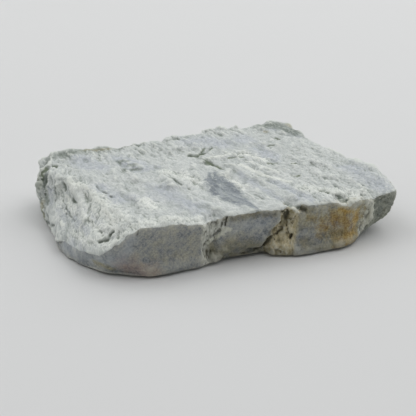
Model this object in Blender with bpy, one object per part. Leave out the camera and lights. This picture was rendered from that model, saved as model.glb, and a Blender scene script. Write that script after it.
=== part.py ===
"""Raw slice of seraphinite: one slab of feathery grey-green chlorite rock, broken from a worn cobble.

The slab lies on its flat underside. Its flank is the cobble's old worn skin: three near-vertical
faces at the front, a full round nose at the right end (+X). Its top and its left end (-X) are fresh
breaks. Two splintered notches cut the front flank, and the top carries slots, pits and splinter ridges.

Frame: metres, +Z up, +X along the slab, origin at the middle of the underside's bounding box.
"""

import math

import bmesh
import bpy
import numpy as np
from mathutils import Vector, noise

MM = 0.001

# Driving dimensions, in millimetres
BASE_EDGE = 0.8  # how far the flat underside stays in from the foot of the flank
CELL = 0.6  # spacing of the points that carry the relief
SIDE_STEPS = 12  # points between one station and the next
EASE = 3  # how many of those steps each corner of the outline is eased over
TOP_HEIGHT = 16.5  # the middle of the top
TRIANGLES = 8800  # what the finished stone keeps

# The outline, anticlockwise from the front left corner. Each station names three points up the flank:
# the foot (x, y) near the table, the rim (x, y, z) where the worn skin ends, and the shoulder (x, y, z)
# where the flat of the top begins.
STATIONS = (
    ("front left corner", (-45.6, -31.2), (-47.2, -31.8, 8.6), (-37.5, -26.5, 16.0)),
    ("front left face", (-36.2, -36.3), (-36.4, -36.4, 15.6), (-35.0, -32.5, 16.2)),
    ("front left middle", (-27.0, -36.9), (-27.0, -37.2, 15.2), (-27.0, -33.0, 16.3)),
    ("notch left edge", (-17.0, -36.8), (-17.0, -37.8, 15.1), (-17.0, -34.4, 16.4)),
    ("notch right edge", (-10.5, -36.0), (-10.5, -37.0, 16.1), (-10.5, -35.6, 16.6)),
    ("front middle", (-2.0, -36.5), (-2.0, -37.7, 16.1), (-2.0, -36.4, 16.5)),
    ("fracture left edge", (6.0, -36.9), (6.5, -38.2, 16.0), (6.5, -36.8, 16.4)),
    ("fracture right edge", (14.0, -40.4), (15.5, -38.9, 16.0), (15.5, -37.2, 16.4)),
    ("front right face", (25.0, -41.0), (25.0, -40.2, 16.0), (25.0, -37.5, 16.4)),
    ("front right chip", (33.4, -40.3), (33.0, -40.4, 14.6), (32.0, -34.5, 16.2)),
    ("front right corner", (40.0, -36.0), (40.5, -39.4, 14.2), (39.0, -33.5, 16.0)),
    ("nose front", (44.8, -29.5), (52.2, -38.2, 15.4), (50.2, -35.8, 16.0)),
    ("nose", (43.5, -18.0), (55.2, -24.8, 14.8), (53.0, -24.2, 15.8)),
    ("right side front", (42.0, -6.0), (49.9, -8.2, 14.8), (48.0, -8.2, 16.0)),
    ("right side", (39.0, 5.0), (47.0, 6.5, 15.2), (45.2, 6.0, 16.4)),
    ("right side back", (39.0, 17.0), (45.4, 19.0, 15.2), (44.0, 18.5, 16.2)),
    ("knob step", (40.0, 23.0), (44.6, 24.4, 15.4), (43.0, 24.2, 16.2)),
    ("back right knob", (41.0, 29.0), (47.2, 31.4, 16.0), (45.0, 30.2, 17.0)),
    ("knob top", (36.0, 31.0), (41.8, 36.0, 16.4), (40.4, 33.4, 17.4)),
    ("back knob foot", (29.0, 30.5), (31.5, 34.6, 15.2), (31.5, 32.2, 16.4)),
    ("back right", (15.0, 30.5), (15.5, 34.6, 15.6), (15.5, 32.4, 16.8)),
    ("back middle", (-3.0, 28.6), (-3.0, 32.3, 15.4), (-3.0, 30.3, 16.5)),
    ("back hollow", (-19.0, 28.0), (-19.0, 32.0, 14.6), (-19.0, 30.0, 16.0)),
    ("back left", (-33.0, 31.0), (-35.0, 36.6, 15.8), (-34.0, 34.0, 17.2)),
    ("back left corner", (-44.0, 28.5), (-48.0, 34.4, 14.6), (-45.0, 31.5, 16.8)),
    ("left lip", (-50.2, 19.0), (-52.3, 22.0, 13.0), (-48.9, 21.0, 16.2)),
    ("left end back", (-52.4, 9.0), (-52.0, 9.5, 7.5), (-44.5, 10.0, 16.2)),
    ("left end", (-53.0, -4.4), (-53.4, -4.0, 4.8), (-40.5, -1.0, 16.2)),
    ("left end front", (-51.8, -19.4), (-52.4, -19.4, 5.8), (-38.8, -14.0, 16.2)),
)

# Single marks, each along a line of points (x, y, z): how wide it reaches and how deep it goes in.
# A negative depth stands out.
MARKS = (
    ("slot behind the fan", 1.4, 1.5, ((0.4, 14.2, 16.5), (4.4, 12.5, 16.5))),
    ("slot's branch", 1.2, 0.8, ((5.5, 15.0, 16.5), (10.2, 17.9, 16.5))),
    ("slot at the fan's head", 1.2, 1.1, ((3.0, 3.9, 16.5), (5.7, -4.0, 16.5))),
    ("line left of the fan", 1.0, 0.6, ((-10.4, 2.8, 16.5), (-11.2, -14.2, 16.5))),
    ("arc's groove", 1.1, 0.7, ((6.5, 10.0, 16.5), (17.5, 6.5, 16.5), (22.6, 0.5, 16.5))),
    ("arc's ridge", 1.9, -0.7, ((5.5, 7.6, 16.5), (16.5, 4.0, 16.5), (21.0, -3.0, 16.5))),
    ("second ridge", 1.5, -0.5, ((8.0, 0.5, 16.5), (17.0, -33.0, 16.5))),
    ("groove beside it", 1.2, 0.6, ((11.5, -2.0, 16.5), (20.0, -33.0, 16.5))),
    ("ridge left of the fan", 1.6, -0.5, ((-14.0, -12.0, 16.5), (-9.0, -32.0, 16.5))),
    ("green dimple", 3.6, 0.9, ((-24.0, 15.5, 16.5), (-21.7, 8.6, 16.5))),
    ("front pit", 1.4, 1.2, ((26.4, -31.4, 16.4), (28.6, -33.2, 16.3))),
    ("pit", 1.3, 1.1, ((28.9, 10.4, 16.5),)),
    ("pit", 1.2, 0.8, ((23.8, -5.0, 16.5),)),
    ("pit", 1.1, 0.8, ((29.4, -7.4, 16.5),)),
    ("pit", 1.3, 0.9, ((24.1, -16.5, 16.5), (26.5, -17.6, 16.5))),
    ("pit", 1.2, 0.9, ((-34.2, -25.0, 16.2),)),
    ("pit", 1.1, 0.9, ((-1.2, 20.6, 16.5),)),
    ("left end's upper line", 1.1, 1.0, ((-46.0, 9.9, 14.6), (-46.2, 7.0, 13.3))),
    ("left end's lower line", 1.1, 1.0, ((-45.8, 4.2, 12.9), (-45.5, -1.1, 11.8))),
    ("left end's ridge", 1.8, -0.9, ((-43.9, 8.6, 15.8), (-44.4, -0.9, 13.2), (-46.0, -12.0, 10.6))),
    ("left end's flute", 2.0, 0.9, ((-42.4, 2.0, 15.4), (-43.4, -10.0, 12.6), (-45.6, -20.0, 10.4))),
    ("left end's low flute", 1.8, 0.8, ((-48.6, 10.0, 11.8), (-49.4, -4.0, 8.0))),
    ("crevice under the lip", 1.5, 1.8, ((-49.4, 19.2, 15.8), (-51.0, 18.6, 13.4), (-52.3, 14.0, 10.4))),
    ("lip", 3.0, -0.7, ((-51.4, 22.4, 14.6), (-48.0, 24.0, 16.2))),
    ("hooked crevice", 1.2, 1.6, ((-46.0, -27.4, 9.6), (-44.4, -28.2, 10.8), (-42.8, -27.3, 12.1))),
    ("tick at the rim", 0.9, 0.9, ((-36.4, -33.5, 15.5), (-37.9, -35.9, 13.6))),
    ("notch's left slot", 1.1, 2.2, ((-11.9, -36.0, 10.6), (-11.4, -34.4, 16.8))),
    ("notch's right slot", 1.0, 2.2, ((-9.8, -36.8, 10.6), (-9.3, -35.6, 16.8))),
    ("notch's splinter", 1.1, -1.2, ((-15.4, -36.0, 1.0), (-14.6, -34.6, 16.0))),
    ("pit in the fracture", 1.4, 1.6, ((12.4, -38.6, 6.7),)),
    ("pit in the fracture", 1.2, 1.4, ((10.4, -38.2, 12.7),)),
    ("pit in the fracture", 1.3, 1.4, ((6.9, -37.6, 8.0),)),
    ("fracture's yellow ridge", 1.1, -1.2, ((12.9, -36.8, 16.4), (14.9, -38.6, 14.0))),
    ("recess beside that ridge", 1.5, 1.9, ((14.8, -37.4, 16.3), (17.2, -39.0, 15.2))),
    ("hollow below the middle face", 4.4, 1.3, ((-8.0, -37.0, 2.4), (2.0, -37.5, 2.0))),
    ("undercut", 2.0, 1.9, ((0.0, -37.0, 2.4), (4.0, -37.2, 1.4))),
    ("chip at the right corner", 3.4, 2.4, ((30.4, -37.8, 16.4), (33.0, -38.4, 15.2))),
    ("chip's deep side", 1.4, 1.3, ((29.6, -35.4, 16.4), (32.4, -35.2, 16.2))),
    ("facet before the nose", 5.0, 1.1, ((38.0, -40.5, 4.0), (39.0, -39.5, 12.0))),
    ("ridge between facet and nose", 1.4, -0.7, ((42.4, -39.2, 14.0), (42.2, -38.5, 7.0), (40.0, -37.4, 3.0))),
    ("bite behind the knob", 2.6, 1.5, ((26.5, 35.0, 16.5),)),
    ("bump on the back rim", 2.6, -1.1, ((-1.0, 31.4, 15.8), (2.0, 32.0, 15.8))),
    ("bump on the back rim", 2.8, -0.9, ((-26.0, 32.4, 16.0), (-22.0, 32.0, 15.8))),
    ("bump on the back rim", 3.0, -0.9, ((-41.0, 32.6, 16.4), (-37.0, 33.0, 16.6))),
    ("bump on the back rim", 2.4, -0.9, ((14.0, 33.0, 16.6), (21.0, 33.0, 16.6))),
)

# The two broken strips that cross the front flank: heights, the left and right edge (x) at each
# height, the depth, and the share of the width where the floor begins to rise to the right.
STRIPS = (
    ((0.0, 6.0, 11.0, 16.5), (-16.6, -16.3, -16.0, -15.4), (-12.4, -11.0, -9.2, -8.6), 2.4, 0.7),
    ((0.0, 4.7, 8.5, 11.7, 16.5), (3.2, 4.1, 6.5, 9.8, 12.3), (12.8, 13.8, 15.0, 16.6, 18.8), 2.9, 0.3),
)

# The rings of the flank, each at this share of the rim's height.
FLANK_SHARES = (0.04, 0.13, 0.35, 0.66)


def smooth(value, low, high):
    """0 below low, 1 above high, and an S curve between them."""
    share = np.clip((value - low) / (high - low), 0.0, 1.0)
    return share * share * (3.0 - 2.0 * share)


def eased(corners):
    """A ring of corners filled in with straight sides, then averaged a little along its length."""
    count = len(corners) * SIDE_STEPS
    at = np.arange(count) / SIDE_STEPS
    sides = np.array([np.interp(at, range(len(corners)), axis, period=len(corners)) for axis in corners.T])
    return np.mean([np.roll(sides, shift - EASE // 2, axis=1) for shift in range(EASE)], axis=0).T


def towards_middle(ring, distance):
    """The ring moved in by this distance, towards the slab's long middle line."""
    way = np.column_stack((np.clip(ring[:, 0], -20.0, 20.0) - ring[:, 0], -ring[:, 1]))
    return ring[:, :2] + way / np.linalg.norm(way, axis=1, keepdims=True) * distance


def rings():
    """The slab's rings of points, from the edge of the flat underside up to the middle of the top."""
    feet, rims, shoulders = (eased(np.array([station[n] for station in STATIONS])) for n in (1, 2, 3))
    level = np.zeros(len(feet))
    yield np.column_stack((towards_middle(feet, BASE_EDGE), level))
    for share in FLANK_SHARES:
        left = (1.0 - share) / (1.0 - FLANK_SHARES[0])
        swing = math.sqrt(1.0 - left * left)  # the worn flank is a quarter round
        across = feet + (rims[:, :2] - feet) * swing
        yield np.column_stack((across, rims[:, 2] * share))
    yield rims
    yield shoulders
    yield np.column_stack((towards_middle(shoulders, 14.0), level + TOP_HEIGHT))


def cage():
    """The slab before its relief: rings bridged one to the next, and both ends filled."""
    mesh = bmesh.new()
    loops = []
    for ring in rings():
        verts = [mesh.verts.new(point) for point in ring]
        loops.append([mesh.edges.new(pair) for pair in zip(verts, verts[1:] + verts[:1])])
    for lower, upper in zip(loops, loops[1:]):
        bmesh.ops.bridge_loops(mesh, edges=lower + upper)
    for end in (loops[0], loops[-1]):
        bmesh.ops.contextual_create(mesh, geom=end)
    bmesh.ops.recalc_face_normals(mesh, faces=mesh.faces)
    return mesh


def mesh_after(data, kind, **settings):
    """A new mesh: this one after one modifier."""
    carrier = bpy.data.objects.new("carrier", data)
    bpy.context.scene.collection.objects.link(carrier)
    modifier = carrier.modifiers.new(kind.lower(), kind)
    for name, value in settings.items():
        setattr(modifier, name, value)
    graph = bpy.context.evaluated_depsgraph_get()
    result = bpy.data.meshes.new_from_object(carrier.evaluated_get(graph))
    bpy.data.objects.remove(carrier)
    return result


def read(data, what):
    """The mesh's points ("co") or normals ("normal") as an array of rows."""
    values = np.empty(len(data.vertices) * 3)
    data.vertices.foreach_get(what, values)
    return values.reshape(-1, 3)


def field(points, sizes, seed):
    """A smooth random value for each point, about -1 to 1, with lumps of these sizes in millimetres."""
    places = points / np.array(sizes) + seed * 17.3
    return np.array([noise.noise(place) for place in places]) * 1.6


def rim_height(points):
    """How high the worn skin reaches on the flank nearest to each point."""
    rims = sorted((math.atan2(rim[1], rim[0]), rim[2]) for _, _, rim, _ in STATIONS)
    return np.interp(np.arctan2(points[:, 1], points[:, 0]), *zip(*rims), period=2.0 * math.pi)


def along_fibres(points):
    """The points in a frame whose y runs along the stone's fibres, which lean with x."""
    lean = np.interp(points[:, 0], (-45.0, 15.0, 50.0), (-0.12, 0.22, 0.12))
    return np.column_stack((points[:, 0] + lean * points[:, 1], points[:, 1:]))


def facets(points, sizes, seed):
    """Flat facets that tilt at random, one to a cell of these sizes, and meet in small steps."""
    heights = []
    for place in points / np.array(sizes) + seed * 17.3:
        middle = noise.voronoi(place)[1][0]
        tilt = noise.cell_vector(middle * 9.1) * 2.0 - Vector((1.0, 1.0, 1.0))
        heights.append((Vector(place) - middle).dot(tilt))
    return np.array(heights) * 1.7


def broken_relief(points):
    """Low lumps, then the ledges, splinters and crumbs of a fresh break."""
    fibres = along_fibres(points) + 0.9 * field(points, (3.0, 5.0, 3.0), 1)[:, None]
    lumps = 0.40 * field(points, (16.0, 20.0, 12.0), 2) + 0.5 * field(fibres, (40.0, 14.0, 4.5), 13)
    ledges = 0.50 * facets(fibres, (5.0, 13.0, 5.0), 3)
    splinters = 0.34 * facets(fibres, (1.9, 7.0, 1.9), 4)
    crumbs = 0.24 * facets(points, (1.7, 2.1, 1.7), 5)
    return lumps + ledges + splinters + crumbs


def worn_relief(points):
    """The worn skin's shallow dents."""
    dents = 0.30 * facets(points, (9.0, 9.0, 7.0), 6) + 0.16 * field(points, (4.0, 4.0, 4.0), 7)
    return dents + 0.10 * field(points, (1.8, 1.8, 1.8), 8)


def strip_relief(points, normals):
    """How deep the two broken strips cut in: a sharp left edge, then a rough floor."""
    front = smooth(-points[:, 1], 31.0, 34.5) * smooth(-normals[:, 1], -0.3, 0.2)
    floor = 0.9 * facets(points, (1.7, 2.2, 3.4), 9) + 0.5 * field(points, (1.4, 2.0, 5.0), 10)
    depth = np.zeros(len(points))
    for heights, left_edge, right_edge, deepest, rise in STRIPS:
        left = np.interp(points[:, 2], heights, left_edge)
        right = np.interp(points[:, 2], heights, right_edge)
        share = (points[:, 0] - left + 0.5 * field(points, (2.0, 2.0, 2.0), 11)) / (right - left)
        depth += smooth(share, -0.04, 0.10) * (1.0 - smooth(share, rise, 1.05)) * (deepest + floor)
    return depth * front


def distance_to_line(points, line):
    """Each point's distance to the nearest place on this line of points."""
    line = np.array(line if len(line) > 1 else line * 2)
    best = np.full(len(points), np.inf)
    for start, end in zip(line, line[1:]):
        way = end - start
        share = np.clip((points - start) @ way / max(way @ way, 1e-9), 0.0, 1.0)
        best = np.minimum(best, np.linalg.norm(points - start - share[:, None] * way, axis=1))
    return best


def relief(points, normals):
    """How far each point stands out from the plain slab."""
    fresh = smooth(points[:, 2] - rim_height(points) + 0.5 * field(points, (4.0, 4.0, 4.0), 12), -0.4, 0.4)
    back = smooth(points[:, 1], 22.0, 28.0) * smooth(points[:, 2], 2.0, 6.0)
    rough = np.maximum(fresh, 0.8 * back)
    out = rough * broken_relief(points) + (1.0 - rough) * worn_relief(points)
    out -= strip_relief(points, normals)
    for _, reach, depth, line in MARKS:
        out -= depth * (1.0 - smooth(distance_to_line(points, line), 0.15 * reach, reach))
    return out * smooth(points[:, 2], 0.2, 1.6)


def flattened(points):
    """The same points with the underside's made exactly flat."""
    points[points[:, 2] < 0.3, 2] = 0.0
    return points


def centred(points):
    """The same points with the middle of their bounding box above the origin."""
    middle = (points.min(axis=0) + points.max(axis=0)) / 2.0
    return points - (middle[0], middle[1], 0.0)


def write(data, points):
    data.vertices.foreach_set("co", points.ravel())
    data.update()


def carved_slab():
    """The finished stone's mesh, in millimetres."""
    plain = bpy.data.meshes.new("plain slab")
    mesh = cage()
    mesh.to_mesh(plain)
    mesh.free()
    dense = mesh_after(plain, "REMESH", mode="VOXEL", voxel_size=CELL)
    points, normals = read(dense, "co"), read(dense, "normal")
    write(dense, flattened(points + normals * relief(points, normals)[:, None]))
    # A second pass takes out the folds that steep marks leave.
    dense = mesh_after(dense, "REMESH", mode="VOXEL", voxel_size=CELL)
    share = TRIANGLES / sum(len(face.vertices) - 2 for face in dense.polygons)
    return mesh_after(dense, "DECIMATE", ratio=share)


def stone_material():
    """Chlorite schist: pale grey-green, matt with a faint silky sheen."""
    material = bpy.data.materials.new("raw seraphinite")
    material.use_nodes = True
    shader = material.node_tree.nodes["Principled BSDF"]
    shader.inputs["Base Color"].default_value = (0.42, 0.46, 0.44, 1.0)
    shader.inputs["Roughness"].default_value = 0.7
    shader.inputs["Metallic"].default_value = 0.0
    return material


def main():
    for obj in list(bpy.data.objects):
        bpy.data.objects.remove(obj)
    body = carved_slab()
    write(body, centred(flattened(read(body, "co"))) * MM)
    body.shade_smooth()
    body.materials.append(stone_material())
    stone = bpy.data.objects.new("seraphinite_slice", body)
    bpy.context.scene.collection.objects.link(stone)


main()
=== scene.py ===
"""Looks of a raw seraphinite slice: one carved stone with broken and worn faces, a studio, a camera."""

import math

import bmesh
import bpy
import numpy as np
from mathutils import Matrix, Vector, noise


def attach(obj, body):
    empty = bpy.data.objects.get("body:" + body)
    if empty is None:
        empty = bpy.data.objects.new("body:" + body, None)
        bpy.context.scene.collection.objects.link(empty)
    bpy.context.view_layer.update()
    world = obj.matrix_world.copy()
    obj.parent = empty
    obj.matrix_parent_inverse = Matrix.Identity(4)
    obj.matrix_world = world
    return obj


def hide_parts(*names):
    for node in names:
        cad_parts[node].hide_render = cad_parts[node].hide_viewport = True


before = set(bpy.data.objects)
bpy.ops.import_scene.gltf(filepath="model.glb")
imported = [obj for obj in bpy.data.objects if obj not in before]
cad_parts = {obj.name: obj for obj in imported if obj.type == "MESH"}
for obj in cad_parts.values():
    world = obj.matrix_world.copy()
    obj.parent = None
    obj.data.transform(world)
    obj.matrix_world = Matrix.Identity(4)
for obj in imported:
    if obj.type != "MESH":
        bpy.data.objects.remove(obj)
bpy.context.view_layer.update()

MM = 0.001
NODE = "seraphinite_slice"

# The carved mesh, in millimetres
CELL = 0.40  # spacing of its points
TRIANGLES = 190_000  # what is left after thinning: the flat underside needs few
MERGE = 0.001  # points this close are one point
UNDERSIDE = 0.25  # points below this height stay flat on the table

# How many times the points, or their normals, are averaged with those next to them
FACET_ROUNDS = 2  # to lose the solid's facets
SOFT_ROUNDS = 24  # to round the nose and the left corner
NORMAL_ROUNDS = 6  # to tell a face that looks up
LIFT_ROUNDS = 90  # to find the edge of the underside
CREST_ROUNDS = 8  # to find small crests and hollows, for the painted highlights and shade on them
SWELL_ROUNDS = 60  # to find large ones, for painted highlights on slabs and shade in crevices

# How far the edge of the underside stands off the table: in front, against x, and at the back
FOOT_LIFT = ((-22.0, -16.0, -8.0, 4.0, 6.0, 20.0, 28.0), (0.9, 0.9, 1.2, 1.2, 0.7, 0.7, 0.9))
BACK_LIFT = 0.4
LIFT_SLOPE = 12.0  # how steeply that edge rises

# How far the foot of the front flank stands forward, against x
FOOT_OUT = (
    (-44.0, -34.0, -16.0, -9.0, 4.6, 6.4, 32.0, 38.0),
    (0.0, 1.0, 0.6, -0.7, -0.7, 1.7, 1.3, 0.0),
)

# How far the rim over the front left face is raised, against x
RIM_RISE = ((-45.0, -41.0, -25.0, -16.0), (0.0, 1.2, 1.2, 0.0))

# Where the worn skin ends, anticlockwise from the front left corner: (x, y, z)
RIM = (
    (-47.2, -29.7, 8.3), (-45.0, -31.0, 10.0), (-43.4, -31.6, 11.2), (-42.2, -32.2, 13.4),
    (-40.5, -32.7, 14.8), (-37.1, -33.8, 15.6), (-27.7, -35.2, 15.2), (-17.7, -35.8, 15.1),
    (-11.2, -35.0, 16.1), (5.8, -36.2, 16.0), (14.8, -36.9, 16.0), (24.3, -38.2, 16.0), (32.3, -38.4, 14.6),
    (39.8, -37.4, 14.2), (51.5, -36.2, 15.4), (54.5, -22.8, 14.8), (49.2, -6.2, 14.8),
    (46.3, 8.5, 15.2), (43.9, 26.4, 15.4), (46.5, 33.4, 16.0), (41.1, 38.0, 16.4),
    (30.8, 36.6, 15.2), (-3.7, 34.3, 15.4), (-35.7, 38.6, 15.8), (-48.7, 36.4, 9.0),
    (-53.0, 24.0, 3.0), (-53.4, 11.5, 2.0), (-54.1, -2.0, 2.6), (-53.3, -9.2, 4.4),
    (-50.3, -20.8, 5.9), (-48.4, -28.4, 7.2),
)

# The two broken strips across the front flank, the grey one and the tan one: heights, then the left and
# right edge (x) at each
GREY_STRIP = (
    (0.0, 3.2, 4.4, 8.2, 9.9, 11.5, 16.5),
    (-17.5, -17.7, -17.9, -17.9, -17.9, -17.7, -17.2),
    (-9.2, -11.8, -13.0, -14.1, -12.7, -9.6, -8.6),
)
TAN_STRIP = (
    (0.0, 2.7, 4.1, 6.3, 7.8, 10.1, 13.6, 16.5),
    (4.0, 4.4, 5.2, 6.5, 7.3, 8.4, 9.0, 8.8),
    (12.2, 12.6, 13.4, 14.0, 14.4, 14.8, 15.4, 17.4),
)

# Where the stone swells out or, where the height is negative, is worn in. In this table and the next ones
# each row is one mark: its reach, its height or depth if it has one, and its line (x, y, z).
FORMS = (
    (6.5, -2.0, ((-51.5, 30.0, 14.5), (-51.0, 31.0, 10.0))),
    (3.0, 1.5, ((-52.6, 21.6, 12.6), (-50.5, 24.6, 15.2))),
    (3.0, -1.0, ((-52.6, 17.6, 10.5), (-52.8, 14.6, 8.6))),
    (4.0, 0.8, ((-53.0, 13.0, 4.5), (-52.8, 17.0, 6.0))),
    (5.0, -1.3, ((-50.5, -22.0, 2.5), (-45.6, -30.0, 1.5), (-40.0, -34.0, 1.0))),
    (4.0, 1.4, ((-51.5, -12.0, 1.6), (-52.5, -5.0, 2.0))),
    (2.6, 0.6, ((-43.5, 34.2, 16.0), (-38.5, 34.6, 16.2))),
    (2.0, 0.4, ((-22.6, 32.0, 16.0), (-18.5, 31.6, 16.0))),
    (1.6, -0.6, ((-14.0, 31.6, 16.0),)),
    (2.6, 0.9, ((46.4, 2.0, 15.5), (47.6, -4.0, 15.4))),
    (2.2, 0.6, ((44.4, 31.0, 16.2), (45.0, 28.0, 15.8))),
    (3.0, 1.3, ((5.4, -33.0, 2.2), (9.6, -35.0, 2.0))),
    (3.6, 0.6, ((-34.0, -35.0, 2.4), (-26.0, -35.6, 2.4), (-18.0, -36.0, 2.4))),
    (2.8, 0.8, ((-16.0, -34.4, 2.2), (-12.0, -33.6, 2.0))),
    (4.0, 0.8, ((-9.0, -34.6, 3.6), (-4.0, -35.2, 3.6), (2.0, -34.4, 3.0))),
    (3.0, 0.8, ((14.0, -37.0, 2.0), (24.0, -37.4, 2.0), (28.0, -37.2, 2.4))),
    (3.0, 1.2, ((28.0, -37.2, 2.4), (35.0, -36.0, 2.8))),
    (4.4, 1.1, ((-23.6, 18.8, 15.4), (-21.4, 11.6, 15.6))),
    (2.4, -0.5, ((-45.6, -22.0, 11.0), (-44.0, -22.4, 11.8))),
    (3.0, 0.6, ((-13.6, -32.6, 5.6), (-12.6, -33.4, 3.6))),
    (2.0, -0.9, ((9.6, -37.0, 15.4), (9.9, -36.8, 13.2))),
    (4.6, 1.9, ((50.0, -10.0, 15.2), (51.4, -17.0, 15.2))),
    (1.8, 0.6, ((28.2, 12.4, 15.8),)),
    (1.8, 0.5, ((23.1, -3.0, 15.8),)),
    (1.8, 0.5, ((28.7, -5.4, 15.8),)),
    (1.8, 0.5, ((23.4, -14.5, 15.8), (25.8, -15.6, 15.8))),
    (1.8, 0.5, ((-34.9, -23.0, 15.6),)),
    (3.4, 1.3, ((29.4, -35.6, 14.8), (33.0, -36.6, 14.4))),
    (2.8, 0.9, ((30.4, -32.2, 15.4), (31.4, -32.8, 15.0))),
    (2.4, 0.5, ((-47.4, 13.4, 13.8),)),
    (2.4, 0.6, ((33.0, -36.8, 14.4), (36.0, -37.4, 14.4))),
    (3.0, 0.4, ((-44.9, 6.6, 15.8), (-42.4, 4.0, 15.4))),
    (2.4, 0.3, ((-45.2, 4.4, 14.2), (-44.4, -3.0, 14.0))),
    (2.4, 0.4, ((-47.6, 4.4, 10.6), (-47.2, 0.0, 10.6))),
    (2.8, 0.3, ((-45.7, -10.0, 11.7), (-45.4, -15.5, 11.0))),
)

# The crest between the front right face and the nose, which lies behind it: heights, then its x at each
NOSE_CREST = ((0.0, 3.0, 5.0, 7.5, 14.0), (36.5, 38.2, 39.6, 41.6, 41.0))
NOSE_STEP = 0.9  # how far the nose lies behind the crest

# Grooves in the breaks, stained green at the bottom: reach, depth, line
GROOVES = (
    (1.2, 0.8, ((-0.1, 17.3, 16.1), (2.6, 16.9, 15.9), (5.0, 17.5, 15.6))),
    (0.7, 0.1, ((4.9, 18.6, 15.9), (7.0, 20.4, 16.1))),
    (0.6, 0.1, ((7.8, 18.3, 15.9), (9.5, 20.1, 16.0))),
    (0.9, 0.5, ((2.3, 9.8, 16.6), (3.0, 7.1, 16.3), (4.3, 2.4, 16.5), (5.4, -1.9, 16.6))),
    (0.7, 0.1, ((9.6, 6.4, 17.2), (11.9, 5.7, 17.5), (14.6, 5.6, 17.2))),
    (0.7, 0.2, ((20.4, -2.4, 17.0), (23.7, -2.6, 16.6))),
    (0.9, 0.2, ((27.6, -6.4, 17.0), (29.3, -6.0, 16.7))),
    (1.1, 0.5, ((28.0, 12.9, 16.3), (29.2, 12.5, 16.5))),
    (0.9, 0.2, ((33.2, 19.0, 16.6), (34.0, 17.6, 16.6))),
    (0.9, 0.2, ((23.4, -14.5, 16.5), (25.8, -15.6, 16.5))),
    (0.9, 0.2, ((25.7, -29.4, 16.4), (27.6, -31.2, 16.3))),
    (0.9, 0.2, ((-1.9, 22.6, 16.5), (-1.0, 21.0, 16.5))),
    (1.3, 0.9, ((-46.0, 24.6, 16.3), (-49.4, 24.0, 15.7), (-51.4, 22.6, 13.6), (-52.9, 20.6, 11.4))),
)

# Cracks, slots and pits, unstained but painted dark with shade: reach, depth, line
CRACKS = (
    (0.6, 0.3, ((-14.2, 1.0, 17.1), (-13.5, -5.1, 16.8), (-12.0, -10.9, 16.2))),
    (0.7, 0.2, ((5.8, -24.0, 16.7), (6.5, -28.4, 16.8))),
    (0.8, 0.3, ((-38.9, 1.8, 16.9), (-36.8, -7.8, 16.5))),
    (0.7, 0.4, ((-46.4, 12.6, 14.8), (-47.0, 10.6, 13.1))),
    (0.7, 0.5, ((-46.8, 6.8, 13.0), (-46.0, 4.2, 12.0), (-45.6, 1.6, 11.8))),
    (0.6, 0.3, ((-49.2, 5.6, 8.5), (-48.5, 6.1, 9.3))),
    (0.7, 0.3, ((-48.3, 1.8, 9.1), (-48.7, -2.4, 9.0), (-48.8, -6.2, 8.9))),
    (0.9, 0.4, ((-53.2, 12.0, 2.4), (-53.4, 2.0, 5.0))),
    (1.0, 1.1, ((-46.6, -24.4, 9.8), (-45.5, -24.2, 10.5), (-44.5, -24.9, 10.3), (-43.4, -24.4, 11.4),
                (-42.8, -24.4, 12.5))),
    (0.5, 0.25, ((-48.5, 16.0, 15.0), (-49.1, 14.5, 12.2), (-50.1, 11.6, 9.9))),
    (0.8, 0.4, ((-45.3, -20.0, 11.5), (-44.8, -21.0, 11.4))),
    (0.4, 0.1, ((-37.4, -33.6, 15.2), (-38.0, -33.8, 13.4))),
    (0.6, 0.2, ((-34.9, -23.0, 16.2), (-33.6, -24.0, 16.2))),
    (0.8, 0.7, ((-10.5, -34.6, 14.8), (-10.8, -34.2, 12.9), (-11.1, -33.8, 11.4))),
    (1.0, 0.6, ((-13.4, -34.0, 15.4), (-12.8, -33.6, 14.2))),
    (0.8, 1.0, ((-9.1, -34.8, 16.2), (-9.5, -35.0, 14.9), (-9.6, -35.0, 12.8))),
    (0.5, 0.6, ((-7.6, -35.6, 16.2), (-7.5, -35.8, 14.9))),
    (0.5, 0.4, ((-6.6, -35.6, 16.2), (-6.6, -35.8, 15.2))),
    (0.5, 0.5, ((-5.8, -35.8, 16.2), (-5.8, -36.0, 14.4))),
    (0.5, 0.5, ((-4.4, -35.8, 16.2), (-4.4, -36.0, 15.0))),
    (0.5, 0.6, ((-2.6, -36.0, 16.2), (-2.7, -36.2, 14.4))),
    (0.5, 0.5, ((-1.3, -36.0, 16.2), (-1.4, -36.2, 15.0))),
    (0.5, 0.5, ((0.6, -36.0, 16.2), (0.5, -36.4, 14.8))),
    (0.9, 0.9, ((10.4, -36.4, 15.2), (11.2, -34.6, 10.8), (9.3, -33.8, 7.8), (7.4, -33.8, 6.2),
                (6.1, -33.0, 4.2), (4.8, -32.6, 2.8))),
    (0.6, 0.4, ((4.8, -32.6, 2.8), (1.2, -33.4, 1.9), (-3.0, -34.0, 1.8))),
    (0.8, 1.2, ((12.5, -36.2, 6.4), (12.4, -36.2, 5.8))),
    (1.3, 0.8, ((11.2, -34.6, 15.4), (11.6, -34.3, 13.2), (11.6, -34.2, 11.6))),
    (0.6, 0.3, ((7.6, -34.2, 2.0), (8.8, -34.8, 3.0))),
    (1.4, 0.7, ((15.3, -35.0, 15.2), (16.9, -36.7, 14.5))),
    (0.8, 0.4, ((29.6, -33.0, 15.6), (31.0, -34.2, 15.4), (32.0, -36.4, 14.9))),
    (0.6, 0.5, ((31.2, -33.4, 15.6), (33.4, -35.2, 15.2))),
    (0.6, 0.4, ((32.2, -36.8, 14.9), (34.6, -37.2, 14.5))),
)

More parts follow.
